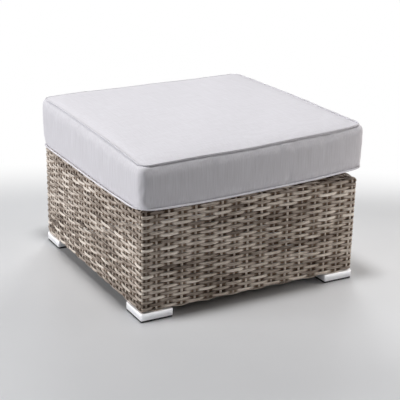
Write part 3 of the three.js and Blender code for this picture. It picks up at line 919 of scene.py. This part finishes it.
def inflate(obj, held, limit):
    # air pressure and a little spare cloth fill the cover out between its seams, up to a limit
    group = obj.vertex_groups.new(name="held")
    group.add([int(n) for n in np.nonzero(held)[0]], 1.0, "REPLACE")
    modifier = obj.modifiers.new("air", "CLOTH")
    cloth = modifier.settings
    cloth.quality = 6
    cloth.mass = 0.3
    cloth.tension_stiffness = 25
    cloth.compression_stiffness = 18
    cloth.shear_stiffness = 8
    cloth.bending_stiffness = 0.4
    cloth.use_pressure = True
    cloth.uniform_pressure_force = 4
    cloth.shrink_min = -0.012
    cloth.effector_weights.gravity = 0
    cloth.vertex_group_mass = "held"
    modifier.point_cache.frame_start = 1
    modifier.point_cache.frame_end = air_frames
    for frame_number in range(1, air_frames + 1):
        scene.frame_set(frame_number)
    shaped = obj.evaluated_get(bpy.context.evaluated_depsgraph_get())
    points = read_points(shaped.data)
    obj.modifiers.remove(modifier)
    obj.vertex_groups.clear()
    scene.frame_set(1)
    start = read_points(obj.data)
    moved = points - start
    far = np.linalg.norm(moved, axis=1)
    return start + moved * (limit * np.tanh(far / limit) / np.maximum(far, 1e-9))[:, None]


move_points(cover_mesh, inflate(
    cover, is_seam | is_below | near_zip, np.where(is_top, top_swell_limit, swell_limit)))


def outdoor_fabric(name, painted_light_shift):
    # a plain weave of pale grey and white yarns, with slubs that read as faint streaks: upright on
    # what stands, and both ways on what lies
    # the second argument raises or lowers every tone, to paint light or shade on a copy of the
    # fabric
    material, tree, shader = new_material(
        name, {"Roughness": 0.92, "Specular IOR Level": 0.05, "Sheen Weight": 0.05})
    upright_slubs, warp_slubs, weft_slubs = [
        pattern(tree, {"Scale": 1.0, "Detail": 3.0, "Roughness": 0.6}, {"Scale": scale})
        for scale in ((420.0, 420.0, 12.0), (12.0, 400.0, 400.0), (400.0, 12.0, 400.0))]
    facing = add_node(tree, "ShaderNodeSeparateXYZ")
    join(tree, add_node(tree, "ShaderNodeNewGeometry"), "Normal", facing, "Vector")
    lying = add_node(tree, "ShaderNodeMapRange", {"From Min": 0.4, "From Max": 0.8})
    tree.links.new(calculate(tree, "ABSOLUTE", facing.outputs["Z"]), lying.inputs["Value"])
    crossed = add_node(tree, "ShaderNodeMix", {"Factor": 0.5}, data_type="FLOAT")
    slubs = add_node(tree, "ShaderNodeMix", data_type="FLOAT")
    join(tree, lying, "Result", slubs, "Factor")
    for mix, first, second in (
            (crossed, warp_slubs, weft_slubs), (slubs, upright_slubs, crossed.outputs[0])):
        tree.links.new(first, mix.inputs[2])
        tree.links.new(second, mix.inputs[3])
    colour_by(tree, shader, slubs.outputs[0], [
        (at, (red + painted_light_shift, green + painted_light_shift, blue + painted_light_shift)) for at, red, green, blue in (
            (0.25, 216, 214, 218), (0.5, 225, 223, 228), (0.75, 233, 232, 237))])
    yarn = pattern(tree, {"Scale": 900.0, "Detail": 2.0})
    add_bump(tree, shader, yarn, 0.3, 0.0004)
    return material


fabric = outdoor_fabric("outdoor_fabric", 0)


def cover_panel(name, wanted, nodes):
    # one panel of the cover, cut out along its seams
    bm = bmesh.new()
    bm.from_mesh(cover_mesh)
    bm.verts.ensure_lookup_table()
    unwanted = [f for f in bm.faces if not wanted(cover_cube[[v.index for v in f.verts], 2])]
    bmesh.ops.delete(bm, geom=unwanted, context="FACES")
    shade_smooth(bm)
    panel = add_object(name, mesh_from(bm, name), fabric)
    smooth = panel.modifiers.new("smooth", "SUBSURF")
    smooth.levels = smooth.render_levels = 1
    wall = panel.modifiers.new("cloth", "SOLIDIFY")
    wall.thickness = cover_thickness
    wall.offset = -1
    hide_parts(*nodes)
    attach(panel, "cushion")


cover_panel("cover_top", lambda level: level.min() > at_edge, ["cushion_top_panel"])
cover_panel("cover_bottom", lambda level: level.max() < -at_edge, ["cushion_bottom_panel"])
cover_panel("cover_boxing", lambda level: level.max() - level.min() > 1e-4, ["cushion_boxing"])
bpy.data.objects.remove(cover)

# Foam: one block of pale open-celled foam, cut square like the cover but a little smaller and
# less full, so that it fills the cover from inside.
core_cells = 24
core_rows = 6
core_inset = 0.0045
core_bulge = boxing_bulge * 0.6
core_mesh = cushion_block("foam_core", core_cells, core_rows, core_inset, core_bulge)[0]
for polygon in core_mesh.polygons:
    polygon.use_smooth = True
foam = grained(
    "foam", 1.0, [(0.0, (214, 204, 170)), (0.6, (243, 236, 212))], {"Scale": 700.0},
    (0.5, 0.0006), kind="ShaderNodeTexVoronoi", output="Distance")
core = add_object("foam_core", core_mesh, foam)
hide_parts("cushion_foam")
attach(core, "cushion")


# Piping: a cord covered in the same fabric and sewn into each seam, so that it stands out from it.
# The low one lies further out, where the boxing bulges over the rim.
piping_radius = 0.0022
piping_faces = 10
piping_swell = 0.05
top_piping_stand = -0.0006
low_piping_stand = 0.0096
top_piping_lift = 0.0015
# the top piping's fabric is painted darker as shade, the low one's paler as light
top_piping_painted_shade = outdoor_fabric("top_piping_painted_shade", -10)
low_piping_painted_light = outdoor_fabric("low_piping_painted_light", 14)


def piping(name, seam, stand, lift_up, share, finish, nodes):
    steps = 4 * panel_cells
    turns = [n / piping_faces * 2 * math.pi for n in range(piping_faces)]
    bm = bmesh.new()
    spin_ring(bm, [
        (piping_radius * math.sin(t), piping_radius * math.cos(t)) for t in turns], 0, steps)
    mesh = mesh_from(bm, name)
    lap, height, lift = unroll_ring(mesh, steps)
    quarter, part = np.divmod(lap, panel_cells)
    side = part / panel_cells * 2 - 1
    u, v = quarter_turns(np.column_stack([1 + 0 * side, side]), quarter).T
    x, y, out_x, out_y = seam_line(u, v, -stand, corner_at(share, u, v))
    fat = 1 + piping_swell * np.sin(lap * 0.9) * np.sin(lap * 0.37 + 1)
    # the top piping is turned up most at the front
    z = seam(x, y) + lift_up * (0.2 - 0.8 * y / seam_half) + height * fat
    set_points(mesh, np.column_stack([x + out_x * lift * fat, y + out_y * lift * fat, z]), {})
    tube = add_object(name, mesh, finish)
    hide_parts(*nodes)
    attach(tube, "cushion")


piping(
    "piping_top", top_seam, top_piping_stand, top_piping_lift, 1.0, top_piping_painted_shade,
    ["cushion_piping_top"])
piping(
    "piping_bottom", low_seam, low_piping_stand, 0.0, 0.0, low_piping_painted_light,
    ["cushion_piping_bottom"])

# Zip: two woven tapes sewn into the back of the boxing, with a moulded chain between them that the
# slider closes. It stops short of the corners, and its pull tab swings on the slider's bar.
zip_low, zip_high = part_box("zip_tape")
zip_length = zip_high.x - zip_low.x
zip_centre = (zip_low + zip_high) / 2
tape_half = (zip_high.z - zip_low.z) / 2
tape_thickness = 0.0008
tape_gap = 0.0006
tape_edge = 0.0003
tape_face = zip_low.y + tape_thickness
tooth_pitch = 0.0025
tooth_size = (0.0013, 0.0008, 0.0031)
tooth_offset = 0.00095
stitch_pitch = 0.0032
stitch_size = (0.0021, 0.0006, 0.0005)
stitch_inset = 0.002
stitch_rise = 0.0001
stop_length = 0.003
stop_height = 0.009
stop_edge = 0.0004
zip_sharp = math.radians(50)


def add_box(bm, centre, size, edge=None):
    # a block, with bevelled edges where a width is given
    made = block(bm, centre, size)
    if edge:
        bevel(bm, list({e for v in made for e in v.link_edges}), edge, 2)


def finish_piece(name, bm, material, nodes, body):
    shade_smooth(bm)
    mesh = mesh_from(bm, name)
    mesh.set_sharp_from_angle(angle=zip_sharp)
    piece = add_object(name, mesh, material)
    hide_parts(*nodes)
    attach(piece, body)


# a fine twill, its lines at 45 degrees to the tape
tape_weave = grained(
    "tape_weave", 0.85, [(0.2, (186, 186, 189)), (0.8, (214, 214, 217))],
    {"Scale": 0.5, "Distortion": 1.5}, (0.5, 0.0002),
    mapping={"Rotation": (0.0, math.radians(45), 0.0), "Scale": (1500.0, 1500.0, 1500.0)},
    kind="ShaderNodeTexWave", bands_direction="X")
bm = bmesh.new()
for side in (-1, 1):
    middle = zip_centre + Vector((0, 0, side * (tape_half + tape_gap) / 2))
    middle.y = tape_face - tape_thickness / 2
    add_box(bm, middle, (zip_length, tape_thickness, tape_half - tape_gap), tape_edge)
finish_piece("zip_tapes", bm, tape_weave, ["zip_tape"], "cushion")

chain_plastic = grained(
    "chain_plastic", 0.4, [(0.3, (170, 170, 173)), (0.7, (192, 192, 195))], {"Scale": 500.0})
bm = bmesh.new()
chain_start = zip_low.x + stop_length + tooth_pitch
for shift, side in ((0, 1), (tooth_pitch / 2, -1)):
    place = (
        chain_start + shift, tape_face + tooth_size[1] / 2, zip_centre.z + side * tooth_offset)
    add_box(bm, Vector(place), tooth_size)
copy_up(bm, int((zip_length - 2 * stop_length) / tooth_pitch) - 2, (tooth_pitch, 0, 0))
finish_piece("zip_chain", bm, chain_plastic, ["zip_tape"], "cushion")

bm = bmesh.new()
for side in (-1, 1):
    place = (
        zip_low.x + stitch_pitch, tape_face + stitch_rise,
        zip_centre.z + side * (tape_half - stitch_inset))
    add_box(bm, Vector(place), stitch_size)
copy_up(bm, int(zip_length / stitch_pitch) - 2, (stitch_pitch, 0, 0))
finish_piece("zip_stitches", bm, fabric, ["zip_tape"], "cushion")

zip_steel = plated_steel("zip_steel", (176, 177, 179), (190, 191, 193))
bm = bmesh.new()
for x in (zip_low.x + stop_length / 2, zip_high.x - stop_length / 2):
    place = Vector((x, (tape_face + zip_high.y) / 2, zip_centre.z))
    add_box(bm, place, (stop_length, zip_high.y - tape_face, stop_height), stop_edge)
finish_piece("zip_stops", bm, zip_steel, ["zip_tape"], "cushion")

# Slider and pull tab: die-cast. The slider is a roof and two cheeks with a bar between two ears,
# and the tab is a plate that hangs from the bar by the round eye at its upper end.
slider_low, slider_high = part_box("zip_slider")
tab_low, tab_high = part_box("zip_pull_tab")
slider_middle = (slider_low + slider_high) / 2
slider_length, slider_height = slider_high.x - slider_low.x, slider_high.z - slider_low.z
slider_roof = 0.0008
slider_face = zip_high.y
cheek_width = 0.0016
cheek_edge = 0.0002
slider_edge = 0.0003
eye_radius = (tab_high.y - tab_low.y) / 2
eye_play = 0.0003
ear_gap = 0.0008
ear_sink = 0.0002
ear_size = (0.001, slider_high.y - slider_face + 2 * ear_sink, 0.0030)
bar_radius = 0.0007
bar_overhang = 0.0012
bar_place = Vector((slider_middle.x, tab_high.y - eye_radius, zip_centre.z))
tab_half = (tab_high.x - tab_low.x) / 2
tab_thickness = 0.0012
tab_corner = 0.0022
bm = bmesh.new()
roof = Vector((slider_middle.x, slider_face - slider_roof / 2, slider_middle.z))
add_box(bm, roof, (slider_length, slider_roof, slider_height), slider_edge)
cheek_top = slider_face - slider_roof
for side in (-1, 1):
    cheek = Vector((
        slider_middle.x, (slider_low.y + cheek_top) / 2,
        slider_middle.z + side * (slider_height - cheek_width) / 2))
    add_box(bm, cheek, (slider_length, cheek_top - slider_low.y, cheek_width), cheek_edge)
    ear = Vector((
        slider_middle.x + side * (tab_half + ear_gap),
        (slider_face + slider_high.y) / 2 - ear_sink, zip_centre.z))
    add_box(bm, ear, ear_size, slider_edge)
bmesh.ops.create_cone(
    bm, cap_ends=True, segments=14, radius1=bar_radius, radius2=bar_radius,
    depth=2 * (tab_half + bar_overhang),
    matrix=Matrix.Translation(bar_place) @ Matrix.Rotation(math.pi / 2, 4, "Y"))
finish_piece("slider", bm, zip_steel, ["zip_slider"], "slider")

bm = bmesh.new()
inner, outer = bar_radius + eye_play, eye_radius
loop = closed_loop(bm, [bar_place + Vector(p) for p in (
    (-tab_half, 0, inner), (tab_half, 0, inner), (tab_half, 0, outer), (-tab_half, 0, outer))])
bmesh.ops.spin(
    bm, geom=loop, cent=bar_place, axis=(1, 0, 0), angle=2 * math.pi, steps=20, use_merge=True)
plate_top, plate_low = bar_place.z - eye_radius * 0.9, tab_low.z
place = Vector((bar_place.x, bar_place.y, (plate_top + plate_low) / 2))
plate = block(bm, place, (2 * tab_half, tab_thickness, plate_top - plate_low))
low_edges = {e for v in plate if v.co.z < place.z for e in v.link_edges}
bevel(bm, [
    e for e in low_edges if abs(e.verts[0].co.y - e.verts[1].co.y) > 1e-4], tab_corner, 5)
finish_piece("pull_tab", bm, zip_steel, ["zip_pull_tab"], "pull_tab")


# Floor and backdrop: a pale, slightly glossy studio floor that fades into white behind the object,
# for the camera and for what shines.
floor_half = 30
fade_centre = (-1.47, -2.62, 0.0)
fade_start = 3.46
fade_end = 3.98


def seen_directly(tree):
    # 1 for what the camera or a reflection sees, 0 for what lights the object
    rays = add_node(tree, "ShaderNodeLightPath")
    return calculate(
        tree, "MAXIMUM", rays.outputs["Is Camera Ray"], rays.outputs["Is Glossy Ray"])


bm = bmesh.new()
bmesh.ops.create_grid(bm, x_segments=1, y_segments=1, size=floor_half)
floor_material, tree, shader = new_material(
    "floor", {"Roughness": 0.35, "Specular IOR Level": 0.3})
cloud = pattern(tree, {"Scale": 3.0, "Detail": 3.0})
colour_by(tree, shader, cloud, [(0.3, (216, 217, 219)), (0.7, (220, 221, 223))])
apart = add_node(tree, "ShaderNodeVectorMath", {1: fade_centre}, operation="DISTANCE")
join(tree, add_node(tree, "ShaderNodeTexCoord"), "Object", apart, 0)
fade = add_node(
    tree, "ShaderNodeMapRange", {"From Min": fade_start, "From Max": fade_end},
    interpolation_type="SMOOTHSTEP")
join(tree, apart, "Value", fade, "Value")
white_share = calculate(tree, "MULTIPLY", fade.outputs["Result"], seen_directly(tree))
white = add_node(tree, "ShaderNodeEmission", {"Strength": 1.0})
mixed = add_node(tree, "ShaderNodeMixShader")
tree.links.new(white_share, mixed.inputs["Fac"])
join(tree, shader, "BSDF", mixed, 1)
join(tree, white, "Emission", mixed, 2)
join(tree, mixed, "Shader", tree.nodes["Material Output"], "Surface")
floor = add_object("floor", mesh_from(bm, "floor"), floor_material)


# Light: soft boxes, as in a photo studio: a wide one far off at the left, a small one overhead, one
# high behind and a weak warm one low at the right. The white surround lights next to nothing.
def area_light(name, place, aim, width, height, power, colour=(1, 1, 1)):
    data = bpy.data.lights.new(name, "AREA")
    data.shape = "RECTANGLE"
    data.size = width
    data.size_y = height
    data.energy = power
    data.color = colour
    lamp = bpy.data.objects.new(name, data)
    scene.collection.objects.link(lamp)
    direction = Vector(aim) - Vector(place)
    turned = direction.to_track_quat("-Z", "Y").to_matrix().to_4x4()
    turned.translation = Vector(place)
    lamp.matrix_world = turned


area_light("left_box", (-6.2, 1.4, 2.0), (0, 0, 0.2), 2.4, 2.4, 234, (0.99, 0.99, 1.0))
area_light("top_box", (-0.33, -0.28, 3.6), (0, -0.1, 0.2), 0.6, 0.6, 73)
area_light("back_box", (1.6, 2.6, 2.5), (0, 0, 0.2), 0.9, 0.9, 33)
area_light(
    "right_box", (1.02, -0.72, 0.42), (0.2, -0.3, 0.25), 0.5, 0.5, 3.45, (1.0, 0.94, 0.88))
surround_light = 0.02
world = bpy.data.worlds.new("surround")
scene.world = world
world.use_nodes = True
tree = world.node_tree
surround = tree.nodes["Background"]
surround.inputs["Color"].default_value = (1, 1, 1, 1)
vary(tree, surround, "Strength", seen_directly(tree), surround_light, 1.0)
